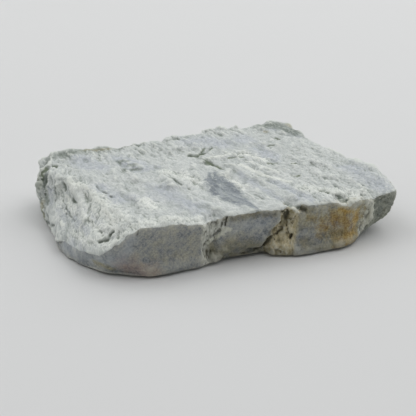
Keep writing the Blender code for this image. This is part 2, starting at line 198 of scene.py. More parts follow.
# Pale splintered ridges: reach, height, line
RIDGES = (
    (1.6, 0.20, ((2.6, -5.6, 17.0), (4.2, -12.9, 16.7), (3.8, -19.0, 16.7))),
    (1.2, 0.35, ((4.4, 10.1, 16.6), (8.5, 9.6, 16.6), (12.6, 8.4, 17.2), (17.2, 7.2, 17.0),
                 (20.0, 1.0, 17.1))),
    (1.4, 0.15, ((11.3, 0.3, 16.8), (14.6, -10.1, 16.2), (20.4, -19.1, 16.6))),
    (1.2, 0.15, ((14.9, 1.7, 16.8), (20.3, -10.4, 16.8))),
    (1.3, 0.15, ((-45.6, 9.4, 16.2), (-43.4, 7.6, 16.2), (-41.4, 2.0, 16.4))),
    (1.3, 0.15, ((-41.2, 0.0, 15.6), (-40.6, -10.0, 15.2), (-41.0, -22.0, 14.2))),
    (1.1, 0.30, ((-47.2, 8.0, 12.4), (-47.2, 5.0, 11.4))),
    (0.9, 0.30, ((-51.4, 0.0, 7.2), (-51.7, -2.6, 7.0))),
    (0.9, 0.30, ((-51.6, 20.2, 12.6), (-51.8, 17.0, 10.8))),
    (0.9, 0.30, ((-46.0, -27.6, 9.0), (-43.6, -29.2, 10.6), (-40.6, -30.4, 13.2))),
    (2.3, 0.40, ((40.2, -37.2, 13.8), (40.4, -37.2, 10.4), (39.6, -36.9, 7.0), (38.4, -36.6, 4.4),
                 (36.8, -37.0, 2.6))),
    (1.1, 0.45, ((-14.2, -33.0, 7.6), (-11.6, -33.6, 9.3), (-10.0, -34.2, 10.7), (-8.4, -35.4, 11.7))),
    (0.9, 0.50, ((12.6, -33.0, 15.6), (13.7, -34.0, 14.9), (14.6, -36.4, 13.8))),
    (1.0, 0.50, ((33.2, -34.6, 14.9), (34.4, -35.6, 14.7))),
)

# Bluer, smoother patches of the breaks and of the worn skin: reach, line
BLUE = (
    (4.5, ((-39.9, 1.0, 17.0), (-37.1, -4.7, 16.7), (-34.2, -11.8, 16.3))),
    (6.0, ((-21.0, -9.0, 16.7), (-16.4, -25.0, 16.5))),
    (5.5, ((-24.6, 23.3, 16.5), (-18.4, 8.8, 16.8))),
    (5.5, ((-36.9, 25.0, 16.3), (-32.8, 16.1, 16.8))),
    (7.0, ((8.0, 27.0, 16.5), (14.0, 23.0, 16.8), (20.2, 20.2, 16.8))),
    (4.5, ((23.6, 12.3, 16.0), (23.5, 1.0, 17.0))),
    (2.6, ((15.6, -15.6, 16.1), (19.5, -35.0, 16.4))),
    (2.2, ((8.2, -6.8, 16.6), (10.9, -29.3, 16.5))),
    (5.5, ((45.1, -13.9, 16.4), (47.8, -32.0, 15.5))),
    (4.0, ((36.0, 27.0, 17.0), (41.4, 25.0, 17.0), (41.4, 18.0, 16.7))),
    (1.8, ((-50.6, 16.6, 12.0), (-51.7, 12.0, 8.3))),
    (2.6, ((-49.6, 6.0, 9.6), (-49.0, -6.0, 9.2), (-47.6, -16.0, 9.4))),
    (2.2, ((-44.6, -3.0, 12.6), (-44.2, -16.0, 12.0))),
    (4.4, ((-54.0, -10.0, 3.0), (-49.0, -27.0, 4.4), (-46.0, -30.6, 6.4))),
    (3.0, ((-6.0, -37.0, 12.0), (4.0, -37.0, 12.5))),
    (2.8, ((-39.6, -33.0, 12.5), (-41.6, -32.6, 8.0), (-44.6, -31.2, 4.0))),
)

# Crumbled, nearly white places: reach, line
PALE = (
    (3.0, ((-44.6, -27.8, 10.0), (-40.4, -29.6, 13.4), (-36.6, -31.4, 15.6), (-17.0, -33.9, 15.9))),
    (3.0, ((-45.4, 8.4, 15.8), (-42.6, 5.0, 15.6), (-42.4, -2.0, 15.0))),
    (3.4, ((-44.6, -2.0, 13.4), (-42.6, -14.0, 13.8), (-42.0, -26.0, 12.6))),
    (3.4, ((-41.8, -3.0, 15.6), (-40.6, -12.0, 15.6), (-38.4, -25.0, 15.4))),
    (3.2, ((-47.4, 4.5, 10.9), (-47.3, 0.0, 10.4))),
    (2.4, ((-46.4, 11.8, 15.9), (-44.2, 7.2, 16.0), (-42.0, 3.4, 15.6))),
    (2.6, ((-48.4, 13.0, 13.6), (-49.4, 9.0, 11.0), (-50.0, 4.0, 9.4))),
    (3.0, ((-45.7, -7.0, 11.7), (-45.4, -18.0, 11.0), (-45.6, -25.0, 10.6))),
    (2.0, ((-50.6, -10.0, 8.2), (-48.6, -22.0, 9.2))),
    (3.5, ((-28.7, -16.1, 17.0), (-27.7, -22.1, 17.0))),
    (3.5, ((-13.9, 3.8, 17.0), (-7.4, -6.8, 16.2))),
    (4.0, ((22.2, -26.3, 17.0), (28.7, -31.2, 16.5), (38.1, -34.3, 15.0))),
    (2.2, ((4.7, 10.4, 16.6), (12.6, 9.0, 17.2), (17.6, 7.4, 17.0), (20.4, 0.0, 17.1))),
    (1.4, ((41.0, -37.0, 14.0), (41.5, -36.5, 7.3), (39.4, -36.6, 4.6))),
    (1.6, ((-17.0, -35.4, 9.9), (-16.1, -34.8, 11.4))),
)

# The feather-shaped dark plume, darkest where it starts: reach, line
PLUME = (
    (2.8, ((0.2, -7.6, 16.5), (0.4, -16.6, 16.4), (-0.6, -24.0, 16.6))),
    (2.6, ((-2.4, -8.0, 16.6), (-3.6, -13.0, 16.6), (-4.6, -17.4, 16.4))),
    (2.0, ((-4.6, -18.0, 16.4), (-3.6, -23.0, 16.5), (-1.4, -29.0, 16.6))),
    (2.2, ((-3.2, -13.0, 16.4), (-1.0, -17.0, 16.2), (0.0, -26.0, 16.7))),
    (1.0, ((-1.2, -2.2, 16.6), (-2.6, -9.0, 16.7))),
    (1.0, ((0.9, -2.6, 16.8), (-1.0, -9.0, 16.7))),
    (1.2, ((0.8, -23.0, 16.7), (1.2, -35.0, 16.9))),
)
PLUME_HEART = (
    (1.8, ((-1.8, -6.0, 16.7), (-3.4, -12.5, 16.7))),
    (1.8, ((-4.8, -14.6, 16.5), (-5.8, -17.8, 16.4))),
    (1.5, ((1.6, -11.0, 16.4), (1.4, -19.0, 16.5))),
)

# Iron stain on the front right of the flank: reach, line
RUST = (
    (6.0, ((32.0, -38.5, 9.0), (30.8, -38.3, 5.4))),
    (4.0, ((26.6, -38.6, 10.6), (30.0, -38.5, 9.8), (34.0, -38.2, 9.0))),
    (3.0, ((20.0, -39.0, 11.5), (23.0, -39.0, 8.0))),
)
# The duller stain round it, and thin stains along the rims and the lip: reach, line
OCHRE = (
    (2.4, ((35.1, -37.4, 9.4), (36.3, -36.6, 5.6), (34.0, -37.2, 3.4))),
    (4.0, ((36.0, -37.5, 12.4), (38.2, -36.6, 6.3))),
    (5.0, ((17.0, -38.0, 11.5), (24.0, -38.4, 12.0), (33.0, -38.4, 12.5))),
    (3.6, ((25.0, -38.6, 6.0), (30.0, -38.4, 4.0))),
    (1.3, ((-33.4, 33.6, 16.6), (-28.9, 31.9, 16.6), (-24.6, 31.6, 16.6))),
    (1.6, ((43.6, 29.4, 16.6), (45.0, 27.0, 16.4))),
    (1.0, ((32.2, 25.6, 17.0), (33.0, 25.0, 17.0))),
    (1.8, ((12.4, -33.0, 16.0), (14.2, -35.2, 15.0))),
    (1.6, ((-49.5, -24.7, 3.4), (-48.2, -27.3, 3.4), (-46.6, -30.0, 3.0), (-44.8, -30.8, 2.4))),
    (1.6, ((-51.4, 26.8, 13.4), (-51.8, 23.6, 12.0))),
    (1.6, ((-53.0, 16.4, 7.4), (-53.1, 14.6, 3.6))),
)
# The golden edge of the iron stain: reach, line
GOLD = (
    (2.6, ((34.6, -37.8, 10.8), (35.2, -37.5, 7.6), (34.0, -37.4, 4.8))),
    (1.6, ((29.6, -38.6, 12.6), (33.4, -38.4, 12.0))),
)
# A pinker place at the foot of the front left face: reach, line
PINK = ((5.0, ((-41.5, -32.3, 3.6), (-34.4, -34.0, 1.8))),)

# Where the stone is greener and darker: reach, line
MOSS = (
    (3.0, ((-49.0, 29.0, 15.0), (-44.0, 32.0, 16.0), (-34.0, 33.0, 16.0), (-26.0, 31.0, 16.0))),
    (1.2, ((-24.0, 32.0, 16.0), (-12.0, 31.6, 16.0))),
    (1.2, ((-3.0, 31.0, 16.0), (6.0, 32.0, 16.0))),
    (5.0, ((34.9, 30.4, 17.1), (39.0, 29.2, 16.8), (41.4, 25.0, 17.2), (42.4, 20.5, 16.7))),
    (4.4, ((-53.0, 22.4, 10.6), (-51.6, 25.6, 13.4), (-50.0, 28.6, 14.4))),
    (4.0, ((-53.2, 17.0, 8.4), (-52.9, 13.4, 2.9))),
    (1.4, ((-25.2, 19.6, 15.9), (-23.4, 20.0, 16.0))),
    (1.2, ((-21.9, 18.7, 16.0),)),
    (1.6, ((-22.4, 14.4, 16.0), (-20.8, 13.8, 16.2))),
    (1.3, ((-25.5, 12.7, 16.2),)),
    (1.3, ((-20.7, 10.3, 16.0), (-22.9, 11.1, 15.9))),
    (1.8, ((2.0, 12.0, 16.0), (3.0, 6.0, 16.0))),
    (1.8, ((30.6, -33.3, 14.8), (33.0, -36.4, 13.9))),
)

# Painted shade on the worn skin, umber-brown: under its rim, along its foot, in the recess by the tan strip,
# on the mound between the strips, low on the right end and faintly over the front left face: reach, line
UMBER_SHADE = (
    (4.6, ((-12.0, -35.0, 3.6), (-8.0, -36.0, 5.2), (-2.0, -35.4, 4.6), (2.6, -34.0, 2.6))),
    (2.0, ((-9.6, -35.4, 15.8), (10.0, -36.8, 15.6))),
    (1.6, ((15.6, -35.6, 15.4), (18.6, -37.4, 15.0))),
    (2.6, ((10.4, -35.8, 15.6), (11.6, -34.4, 13.6), (11.6, -34.2, 11.4))),
    (2.8, ((-13.0, -33.2, 5.6), (-12.0, -34.2, 3.0), (-10.4, -34.4, 1.6))),
    (2.4, ((-8.0, -35.0, 1.4), (-2.0, -34.6, 1.4), (4.0, -33.6, 2.2))),
    (3.0, ((16.0, -37.8, 3.0), (24.0, -38.0, 2.0))),
    (2.2, ((5.4, -34.0, 1.0), (8.0, -35.0, 1.4), (12.0, -37.0, 1.0))),
    (3.2, ((24.0, -38.6, 2.0), (30.0, -38.4, 2.6), (34.5, -37.0, 2.8))),
    (6.0, ((50.0, -33.0, 4.0), (54.0, -30.0, 9.0), (54.0, -12.0, 6.0))),
    (10.0, ((-34.0, -44.0, 8.0), (-18.0, -45.0, 8.0))),
)

MARKS = {
    "green": GROOVES, "crack_shade": CRACKS, "ridge": RIDGES, "blue": BLUE, "pale": PALE, "plume": PLUME,
    "plume_heart": PLUME_HEART, "rust": RUST, "ochre": OCHRE, "gold": GOLD, "pink": PINK, "moss": MOSS,
    "umber_shade": UMBER_SHADE,
}


# ---------------------------------------------------------------- carving


def smooth(value, low, high):
    """0 below low, 1 above high, and an S curve between them."""
    share = np.clip((value - low) / (high - low), 0.0, 1.0)
    return share * share * (3.0 - 2.0 * share)


def field(points, sizes, seed):
    """A smooth random value for each point, about -1 to 1, with lumps of these sizes in millimetres."""
    places = points / np.array(sizes) + seed * 17.3
    return np.array([noise.noise(place) for place in places.tolist()]) * 1.6


def facets(points, sizes, seed):
    """Flat facets that tilt at random, one to a cell of these sizes, and meet in small steps."""
    heights = []
    for place in (points / np.array(sizes) + seed * 17.3).tolist():
        middle = noise.voronoi(place)[1][0]
        tilt = noise.cell_vector(middle * 9.1) * 2.0 - Vector((1.0, 1.0, 1.0))
        heights.append((Vector(place) - middle).dot(tilt))
    return np.array(heights) * 1.7


def along_fibres(points):
    """The points in a frame whose y runs along the stone's fibres, which lean with x."""
    lean = np.interp(points[:, 0], (-45.0, 15.0, 50.0), (0.0, 0.28, 0.20))
    return np.column_stack((points[:, 0] + lean * points[:, 1], points[:, 1:]))


def down_left_end(points):
    """The points in a frame whose y runs down the left end as well as forwards, as its slabs do."""
    x, y, z = points.T
    return np.column_stack((x - 0.32 * y, y, z - 0.42 * y))


def distance_to_line(points, line):
    """Each point's distance to the nearest place on this line of points."""
    line = np.array(line if len(line) > 1 else line * 2, dtype=float)
    best = np.full(len(points), np.inf)
    for start, end in zip(line, line[1:]):
        way = end - start
        share = np.clip((points - start) @ way / max(way @ way, 1e-9), 0.0, 1.0)
        best = np.minimum(best, np.linalg.norm(points - start - share[:, None] * way, axis=1))
    return best


def distance_to_mark(points, fray, mark):
    """The distance to the mark's line in reaches: the line's edges fray, and the thinner it is the less."""
    reach, line = mark[0], mark[-1]
    return distance_to_line(points + min(1.0, 0.3 + reach / 3.0) * fray, line) / reach


def depth_within(points, fray, marks):
    """How deep each point lies within the nearest mark: 1 on its line, 0 at its reach, down to -1."""
    depth = np.full(len(points), -1.0)
    for mark in marks:
        depth = np.maximum(depth, 1.0 - distance_to_mark(points, fray, mark))
    return depth


def above_rim(points):
    """How far each point lies above the nearest place on the rim of the worn skin."""
    rim = np.array(RIM)
    nearest = np.full(len(points), np.inf)
    height = np.zeros(len(points))
    for start, end in zip(rim, np.roll(rim, -1, axis=0)):
        way = end - start
        share = np.clip((points[:, :2] - start[:2]) @ way[:2] / (way[:2] @ way[:2]), 0.0, 1.0)
        gap = np.linalg.norm(points[:, :2] - start[:2] - share[:, None] * way[:2], axis=1)
        closer = gap < nearest
        nearest[closer] = gap[closer]
        height[closer] = (start[2] + share * way[2])[closer]
    return points[:, 2] - height


def in_strip(points, strip):
    """1 inside a broken strip of the front flank, 0 outside: its left edge is crisp, its right edge soft."""
    heights, left_edge, right_edge = strip
    ragged = 0.45 * field(points, (1.6, 2.0, 2.0), 21)
    left = points[:, 0] - np.interp(points[:, 2], heights, left_edge)
    right = np.interp(points[:, 2], heights, right_edge) - points[:, 0]
    share = smooth(left + ragged, -0.1, 0.3) * smooth(right + ragged, -0.5, 0.7)
    return share * smooth(-points[:, 1], 27.0, 31.0)


def broken_share(points, normals):
    """1 on fresh breaks, 0 on worn skin."""
    ragged = 0.22 * field(points, (3.0, 3.0, 3.0), 22) + 0.16 * field(points, (1.1, 1.1, 1.1), 23)
    facing_up = np.where(points[:, 2] > 9.0, (normals[:, 2] - 0.62) * 5.0, -9.0)
    fresh = smooth(np.maximum(above_rim(points), facing_up) + ragged, -0.25, 0.25)
    back = smooth(points[:, 1] + 4.0 * ragged, 22.0, 26.0) * smooth(points[:, 2] + ragged, 2.0, 5.0)
    return np.maximum(fresh, back)


def read(mesh, what):
    """The mesh's points ("co") or normals ("normal") as an array of rows, points in millimetres."""
    values = np.empty(len(mesh.vertices) * 3)
    mesh.vertices.foreach_get(what, values)
    return values.reshape(-1, 3) / (MM if what == "co" else 1.0)


def move_points(mesh, points):
    """Puts the mesh's points at these places, given in millimetres."""
    mesh.vertices.foreach_set("co", (points * MM).ravel())
    mesh.update()


def neighbour_mean(mesh, values, rounds):
    """The values averaged with those of the points next to each, this many times."""
    ends = np.empty(len(mesh.edges) * 2, int)
    mesh.edges.foreach_get("vertices", ends)
    a, b = ends.reshape(-1, 2).T
    count = np.bincount(a, minlength=len(values)) + np.bincount(b, minlength=len(values)) + 1.0
    for _ in range(rounds):
        total = values.copy()
        for axis in range(values.shape[1]):
            total[:, axis] += np.bincount(a, values[b, axis], len(values))
            total[:, axis] += np.bincount(b, values[a, axis], len(values))
        values = total / count[:, None]
    return values


def mesh_after(mesh, kind, **settings):
    """A new mesh: this one after one modifier."""
    carrier = bpy.data.objects.new("carrier", mesh)
    bpy.context.scene.collection.objects.link(carrier)
    modifier = carrier.modifiers.new(kind.lower(), kind)
    for name, value in settings.items():
        setattr(modifier, name, value)
    graph = bpy.context.evaluated_depsgraph_get()
    result = bpy.data.meshes.new_from_object(carrier.evaluated_get(graph))
    bpy.data.objects.remove(carrier)
    return result


def left_end_slabs(points):
    """Long slabs that run down the left end, with ragged seams."""
    slanted = down_left_end(points) + 0.9 * field(points, (5.0, 9.0, 5.0), 50)[:, None]
    slanted += 0.45 * field(points, (1.2, 2.0, 1.2), 51)[:, None]
    slabs = 0.38 * facets(slanted, (4.2, 16.0, 4.2), 30) + 0.18 * facets(slanted, (1.5, 5.0, 1.5), 38)
    return slabs + 0.38 * field(slanted, (3.6, 18.0, 3.6), 49)


def split_relief(points, masks):
    """Felted splinters along the fibres, low where the stone is blue and smooth, crumbled where pale, and
    slabs at the left end."""
    x, y = points[:, 0], points[:, 1]
    left_end = smooth(-x, 37.0, 44.0)
    fibres = along_fibres(points) + 0.6 * field(points, (2.5, 6.0, 2.5), 24)[:, None]
    plates = facets(fibres, (2.6, 9.0, 2.6), 25)
    splinters = facets(fibres, (1.0, 5.0, 1.0), 26)
    crumbs = facets(points, (0.9, 1.2, 0.9), 27)
    felt = 1.0 - 2.0 * np.abs(field(fibres, (1.3, 6.0, 1.3), 28))
    lively = 0.55 + 0.45 * smooth(field(points, (9.0, 12.0, 9.0), 29), -0.6, 0.6)
    lively *= 1.0 - 0.45 * smooth(masks["blue"], 0.0, 0.6)
    lively *= 1.0 + 0.8 * smooth(y, 20.0, 27.0) * smooth(-x, -34.0, -26.0)
    lively *= 1.0 - 0.2 * left_end
    crumbling = 0.060 + 0.12 * smooth(masks["pale"], 0.0, 0.5) + 0.05 * smooth(x, 5.0, 25.0)
    crumbling += 0.06 * smooth(x, 14.0, 26.0) * smooth(-y, -2.0, 8.0)
    crumbling *= 1.0 - 0.6 * left_end
    fibrous = lively * (0.13 * plates + 0.11 * splinters + 0.06 * felt)
    return fibrous + crumbling * crumbs + left_end * left_end_slabs(points)


def strip_relief(points):
    """Upright splinters and slots, with chips broken off them."""
    bent = points + 0.5 * field(points, (3.0, 3.0, 3.0), 39)[:, None]
    splinters = facets(bent, (1.1, 2.5, 3.8), 31)
    chips = facets(points, (1.3, 1.3, 1.5), 32)
    slots = smooth(field(bent, (1.1, 2.5, 3.2), 33), 0.25, 0.70)
    return 0.26 * splinters + 0.20 * chips - 0.3 * slots


def worn_relief(points, nose):
    """The cobble's dull skin: low swells, fine grit, and coarser grains on the nose."""
    swells = 0.12 * field(points, (5.0, 5.0, 5.0), 34) + 0.07 * field(points, (2.0, 2.0, 2.0), 35)
    grains = (0.05 + 0.16 * nose) * facets(points, (1.3, 1.3, 1.3), 36)
    return swells + grains


def marked_relief(points, fray):
    """The grooves, cracks and ridges named one by one, deeper and shallower along their length."""
    total = np.zeros(len(points))
    for sign, marks in ((-1.0, GROOVES), (-1.0, CRACKS), (1.0, RIDGES)):
        for mark in marks:
            total += sign * mark[1] * np.clip(1.2 - 1.2 * distance_to_mark(points, fray, mark), 0.0, 1.0)
    return total * (0.9 + 0.5 * fray[:, 0])


def forms(points):
    """The swells and worn-in places, and the step down to the nose."""
    total = np.zeros(len(points))
    for reach, height, line in FORMS:
        total += height * smooth(1.0 - distance_to_line(points, line) / reach, 0.0, 1.0)
    return total - NOSE_STEP * behind_crest(points) * smooth(-points[:, 0], -52.0, -44.0)


def behind_crest(points):
    """1 on the nose behind the crest, 0 before it."""
    ragged = 0.5 * field(points, (2.0, 2.0, 2.0), 37)
    past = points[:, 0] - np.interp(points[:, 2], *NOSE_CREST)
    return smooth(past + ragged, -0.2, 0.9) * smooth(-points[:, 1], 24.0, 30.0)


def fraying(points):
    """How far each point is moved about, up to a millimetre, to give the marks drawn on it ragged edges."""
    coarse = [0.55 * field(points, (2.2, 3.0, 2.2), seed) for seed in (41, 42, 43)]
    fine = [0.25 * field(points, (0.8, 1.1, 0.8), seed) for seed in (44, 45, 46)]
    return np.column_stack(coarse) + np.column_stack(fine)


def write_masks(mesh, points, masks):
    """Keeps the masks, and the frame that the fibres follow, as attributes that the material reads."""
    for name, values in masks.items():
        layer = mesh.attributes.new(name, "FLOAT", "POINT")
        layer.data.foreach_set("value", values)
    fibres = mesh.attributes.new("fibre", "FLOAT_VECTOR", "POINT")
    left_end = smooth(-points[:, 0], 38.0, 44.0)[:, None]
    frames = (1.0 - left_end) * along_fibres(points) + left_end * down_left_end(points)
    fibres.data.foreach_set("vector", frames.ravel())


def merged_copy(mesh):
    """A copy of a CAD node's mesh, with its loose triangles joined."""
    mesh = mesh.copy()
    merged = bmesh.new()
    merged.from_mesh(mesh)
    bmesh.ops.remove_doubles(merged, verts=merged.verts, dist=MERGE * MM)
    merged.to_mesh(mesh)
    merged.free()
    return mesh


def eased_points(mesh, underside):
    """The mesh's points with the solid's facets smoothed out, and the nose and the left corner rounded."""
    points = neighbour_mean(mesh, read(mesh, "co"), FACET_ROUNDS)
    softer = smooth(points[:, 0], 42.0, 46.0) * smooth(-points[:, 1], 8.0, 20.0)
    softer += 0.9 * smooth(-points[:, 0], 40.0, 43.5) * smooth(-points[:, 1], -15.0, -11.0)
    points += softer[:, None] * (neighbour_mean(mesh, points, SOFT_ROUNDS) - points)
    points[underside, 2] = 0.0
    return points


def surface_masks(mesh, points, normals, fray):
    """How deep each point lies in each kind of mark, and its share of each kind of surface."""
    masks = {name: depth_within(points, fray, marks) for name, marks in MARKS.items()}
    masks["broken"] = broken_share(points, neighbour_mean(mesh, normals, NORMAL_ROUNDS))
    masks["nose"] = behind_crest(points)
    masks["grey_strip"] = in_strip(points, GREY_STRIP) * (1.0 - masks["broken"])
    masks["tan_strip"] = in_strip(points, TAN_STRIP) * (1.0 - masks["broken"])
    return masks


def whole_relief(points, fray, masks):
    """How far each point moves out along its normal."""
    worn = 1.0 - masks["broken"]
    on_ridges = 0.8 * worn * smooth(masks["ridge"], 0.0, 0.6)
    crumbly = np.maximum(masks["grey_strip"] + masks["tan_strip"], on_ridges)
    relief = masks["broken"] * split_relief(points, masks)
    relief += crumbly * strip_relief(points)
    relief += (worn - crumbly) * worn_relief(points, masks["nose"])
    relief += marked_relief(points, fray) + forms(points)
    return relief * smooth(points[:, 2], 0.1, 1.0)


def lift_foot(mesh, points, moved, underside):
    """Lays the underside flat, lifts its edge off the table and moves the foot of the front flank out."""
    x, y, z = points.T
    moved[underside, 2] = 0.0
    lift = BACK_LIFT + (np.interp(x, *FOOT_LIFT) - BACK_LIFT) * smooth(-y, 18.0, 28.0)
    lifted = np.clip(LIFT_SLOPE * neighbour_mean(mesh, points, LIFT_ROUNDS)[:, 2], 0.0, lift)
    moved[:, 2] = np.maximum(moved[:, 2], lifted)
    foot = smooth(-y, 26.0, 33.0) * smooth(-z, -6.0, -2.0)
    moved[:, 1] -= foot * np.interp(x, *FOOT_OUT)


def raise_rim(points, moved):
    """Raises the rim over the front left face."""
    x, y, z = points.T
    rim = smooth(-y, 20.0, 33.0) * smooth(z, 5.0, 15.0)
    moved[:, 2] += rim * np.interp(x, *RIM_RISE)


def carved_mesh():
    """The CAD solid's shape with its facets eased, fine relief, and a mask for each kind of surface."""
    mesh = merged_copy(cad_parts[NODE].data)
    mesh = mesh_after(mesh, "REMESH", mode="VOXEL", voxel_size=CELL * MM)
    underside = read(mesh, "co")[:, 2] < UNDERSIDE
    points = eased_points(mesh, underside)
    move_points(mesh, points)
    normals = read(mesh, "normal")
    fray = fraying(points)
    masks = surface_masks(mesh, points, normals, fray)
    moved = points + normals * whole_relief(points, fray, masks)[:, None]
    lift_foot(mesh, points, moved, underside)
    raise_rim(points, moved)
    move_points(mesh, moved)
    # How far each point stands out from its neighbours, small and large: the material paints highlights on
    # crests and shade in hollows from these
    for name, rounds in (("crest", CREST_ROUNDS), ("swell", SWELL_ROUNDS)):
        masks[name] = ((moved - neighbour_mean(mesh, moved, rounds)) * normals).sum(axis=1)
    write_masks(mesh, points, masks)
    count = sum(len(face.vertices) - 2 for face in mesh.polygons)
    return mesh_after(mesh, "DECIMATE", ratio=TRIANGLES / count)


# ---------------------------------------------------------------- material

CLINOCHLORE_IOR = 1.58  # the real one has 1.57 to 1.60

# Noise that the colours share: what it follows, the sizes of its lumps in millimetres, detail, roughness.
# Clinochlore's fibres are some hundredths of a millimetre thick. They are drawn ten times as coarse, to show.
NOISES = {
    "streaks": ("bent", (0.8, 8.0, 0.8), 4.0, 0.60),
    "hairs": ("bent", (0.45, 4.0, 0.45), 3.0, 0.65),
    "clouds": ("bent", (6.0, 12.0, 6.0), 4.0, 0.60),
    "flecks": ("bent", (0.55, 1.3, 0.55), 3.0, 0.70),
    "mottle": ("mm", (3.4, 3.4, 3.4), 5.0, 0.70),
    "grit": ("mm", (0.6, 0.6, 0.6), 3.0, 0.70),
    "blotches": ("mm", (3.6, 3.6, 5.0), 5.0, 0.70),
    "splinters": ("mm", (0.8, 1.2, 2.6), 4.0, 0.70),
    "scratches": ("slanted", (0.9, 2.0, 4.5), 4.0, 0.60),
}

# Sums of noises and masks: their shares, then the range that is stretched to 0..1
TONES = {
    "break_tone": ({"streaks": 0.50, "clouds": 0.28, "flecks": 0.44, "hairs": 0.48}, 0.68, 1.02),
    "plume_tone": ({"hairs": 1.0, "streaks": 0.6}, 0.62, 0.98),
    "skin_tone": ({"mottle": 0.62, "grit": 0.50, "scratches": 0.20}, 0.50, 0.82),
    "strip_tone": ({"splinters": 1.0}, 0.35, 0.68),
    "rust_tone": ({"grit": 1.0, "mottle": 0.8}, 0.70, 1.10),
    # The next four tones are painted light: highlights on crests and raised slabs, shade in hollows and
    # crevices
    "hollow_shade": ({"crest": -1.0}, 0.04, 0.30),
    "crest_highlight": ({"crest": 1.0}, 0.03, 0.22),
    "crevice_shade": ({"swell": -1.0}, 0.18, 0.70),
    "slab_highlight": ({"swell": 1.0}, 0.15, 0.60),
    "break_edge": ({"broken": 1.0, "grit": 0.3}, 0.55, 0.75),
}

# The plain colours of a fresh break and of the worn skin, from low tone to high
BREAK_COLOURS = ("#A8AFAC", "#C3C8C6", "#DDE0DD")
SKIN_COLOURS = ("#6B7074", "#8B9092", "#A2A4A0", "#B6B6AB", "#CCCCC2")

# Layers of colour, each over the one before: where it lies, the noise that frays its edge and its weight,
# the depths at which it starts and is whole, its greatest share, its tone, and its colours from low to high
BREAK_LAYERS = (
    ("blue", "clouds", 3.0, 0.0, 0.9, 0.85, "break_tone", ("#9CA4AB", "#B3B9BF", "#CBD0D4")),
    ("pale", "flecks", 3.5, -0.1, 1.0, 0.85, "break_tone", ("#C2C9C1", "#E7EBE4", "#F4F6F1")),
    # painted highlight on large raised slabs
    ("slab_highlight", "flecks", 0.0, 0.0, 1.0, 0.30, "break_tone", ("#E9EDE6",)),
    ("ridge", "flecks", 1.5, 0.1, 0.8, 0.75, "break_tone", ("#EDF0E8",)),
    ("plume", "hairs", 3.0, -0.1, 0.45, 0.92, "plume_tone", ("#6E767C", "#8B9398", "#A4AAAE")),
    ("plume_heart", "hairs", 3.5, 0.0, 0.7, 0.72, "plume_tone", ("#565E67", "#6E767E", "#868D93")),
    ("moss", "clouds", 2.0, -0.1, 0.8, 0.82, "break_tone", ("#5C6659", "#868F87")),
    ("ochre", "flecks", 1.5, 0.0, 0.8, 0.60, "break_tone", ("#8E8562", "#B3AA86")),
    # painted shade in large crevices between slabs
    ("crevice_shade", "flecks", 0.0, 0.0, 1.0, 0.50, "break_tone", ("#77827A", "#9AA39A")),
    ("green", "flecks", 1.4, 0.0, 0.8, 0.85, "break_tone", ("#4A573E", "#6C7858")),
    # painted shade in cracks and slots
    ("crack_shade", "flecks", 1.0, 0.2, 0.9, 0.70, "break_tone", ("#4F574F",)),
    # painted highlight on small crests, then painted shade in small hollows
    ("crest_highlight", "flecks", 0.0, 0.0, 1.0, 0.60, "break_tone", ("#E1E5DE",)),
    ("hollow_shade", "flecks", 0.0, 0.0, 1.0, 0.70, "break_tone", ("#747E72",)),
)
SKIN_LAYERS = (
    ("blue", "mottle", 1.5, 0.0, 0.8, 0.68, "skin_tone", ("#959DA4", "#BBC1C5")),
    ("pink", "mottle", 2.0, 0.0, 0.9, 0.50, "skin_tone", ("#8E7068", "#AA8C80")),
    ("grey_strip", "grit", 0.0, 0.0, 1.0, 1.0, "strip_tone", ("#888980", "#C0C2B8", "#DBDDD5", "#F2F3ED")),
    ("tan_strip", "grit", 0.0, 0.0, 1.0, 1.0, "strip_tone", ("#A79C7B", "#CEC29D", "#DED5B5", "#EEE8D6")),
    # painted shade, umber-brown: under the rim, along the foot and in the recesses of the mound
    ("umber_shade", "mottle", 1.5, -0.1, 0.7, 0.75, "skin_tone", ("#504E3D", "#736F58", "#948E72")),
    ("nose", "mottle", 0.6, 0.0, 1.0, 0.65, "skin_tone", ("#5C6253", "#7C8271", "#A3A89A")),
    ("ochre", "blotches", 3.0, -0.1, 1.0, 0.70, "rust_tone", ("#807A58", "#A59B6D", "#BEB58C")),
    ("rust", "blotches", 3.6, -0.1, 1.0, 0.85, "rust_tone", ("#755830", "#9A7E42", "#B2A066")),
    ("gold", "blotches", 3.0, 0.0, 1.0, 0.80, "rust_tone", ("#856A30", "#B89648", "#D2B876")),
    ("ridge", "grit", 1.5, 0.1, 0.6, 0.90, "strip_tone", ("#BDBFAE", "#DCDED0", "#F3F4EA")),
    # painted shade in cracks and slots
    ("crack_shade", "grit", 1.0, 0.1, 0.7, 0.80, "skin_tone", ("#35352A",)),
    # painted highlight on small crests, then painted shade in small hollows
    ("crest_highlight", "grit", 0.0, 0.0, 1.0, 0.45, "skin_tone", ("#CFCFC2",)),
    ("hollow_shade", "grit", 0.0, 0.0, 1.0, 0.70, "skin_tone", ("#464434",)),
)


def linear(code):
    """An sRGB hex colour as linear RGBA."""
    shares = [int(code[n:n + 2], 16) / 255.0 for n in (1, 3, 5)]
    return [s / 12.92 if s <= 0.04045 else ((s + 0.055) / 1.055) ** 2.4 for s in shares] + [1.0]


def add(tree, kind, inputs=(), codes=(), **settings):
    """A node of this kind. inputs maps a socket to a value or to the output that feeds it, and codes are
    the colours of a ramp, evenly spaced."""
    made = tree.nodes.new("ShaderNode" + kind)
    for name, value in settings.items():
        setattr(made, name, value)
    if codes:
        ramp = made.color_ramp.elements
        while len(ramp) < len(codes):
            ramp.new(0.5)
        for order, code in enumerate(codes):
            ramp[order].position = order / (len(codes) - 1)
            ramp[order].color = linear(code)
    for socket, value in dict(inputs).items():
        if isinstance(value, bpy.types.NodeSocket):
            tree.links.new(value, made.inputs[socket])
        else:
            made.inputs[socket].default_value = value
    return made


